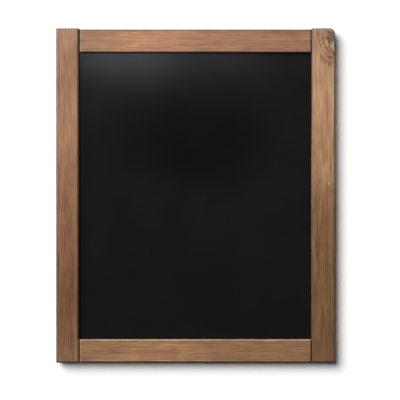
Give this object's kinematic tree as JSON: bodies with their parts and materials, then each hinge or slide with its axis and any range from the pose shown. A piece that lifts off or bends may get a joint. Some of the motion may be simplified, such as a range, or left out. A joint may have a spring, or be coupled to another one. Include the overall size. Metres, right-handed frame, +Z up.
{
  "type": "chalkboard",
  "caption": "Rectangular wall chalkboard: matt black panel set back in a stained pine frame with butted rails and rounded edges, hung by swinging rings on strap hangers.",
  "frame": {"origin": "on the wall plane, midway between the two hanging rings, at the height where the wall hooks bear in them, 60 mm below the tops of the stiles", "axes": "+X to the right seen from the front, +Y into the wall, +Z up"},
  "size_m": [0.5, 0.025, 0.6],
  "materials": {
    "stained_pine": "brown stain on planed pine under a thin satin varnish, straight grain with a few knots",
    "black_board": "hardboard with a matt black chalk lacquer on its face and a bare brown back",
    "beech": "plain fluted beech",
    "spring_steel": "thin bright spring steel",
    "nickel_plate": "nickel-plated steel, satin",
    "rubber": "dark grey moulded rubber"
  },
  "bodies": {
    "board": {"left_stile": "stained_pine", "right_stile": "stained_pine", "top_rail": "stained_pine", "bottom_rail": "stained_pine", "writing_panel": "black_board", "dowel_top_left_inner": "beech", "dowel_top_left_outer": "beech", "dowel_top_right_inner": "beech", "dowel_top_right_outer": "beech", "dowel_bottom_left_inner": "beech", "dowel_bottom_left_outer": "beech", "dowel_bottom_right_inner": "beech", "dowel_bottom_right_outer": "beech", "point_left_1": "spring_steel", "point_left_2": "spring_steel", "point_left_3": "spring_steel", "point_left_4": "spring_steel", "point_right_1": "spring_steel", "point_right_2": "spring_steel", "point_right_3": "spring_steel", "point_right_4": "spring_steel", "point_top_1": "spring_steel", "point_top_2": "spring_steel", "point_top_3": "spring_steel", "point_bottom_1": "spring_steel", "point_bottom_2": "spring_steel", "point_bottom_3": "spring_steel", "left_strap": "nickel_plate", "right_strap": "nickel_plate", "screw_left_upper": "nickel_plate", "screw_left_lower": "nickel_plate", "screw_right_upper": "nickel_plate", "screw_right_lower": "nickel_plate", "left_bumper": "rubber", "right_bumper": "rubber"},
    "left_hang_ring": {"left_ring": "nickel_plate"},
    "right_hang_ring": {"right_ring": "nickel_plate"}
  },
  "joints": [
    {"name": "left_ring_swing", "type": "hinge", "parent": "board", "child": "left_hang_ring", "pos_m": [-0.233, -0.0027, -0.01173], "axis": [-1, 0, 0], "range_deg": [0, 178]},
    {"name": "right_ring_swing", "type": "hinge", "parent": "board", "child": "right_hang_ring", "pos_m": [0.233, -0.0027, -0.01173], "axis": [-1, 0, 0], "range_deg": [0, 178]}
  ]
}
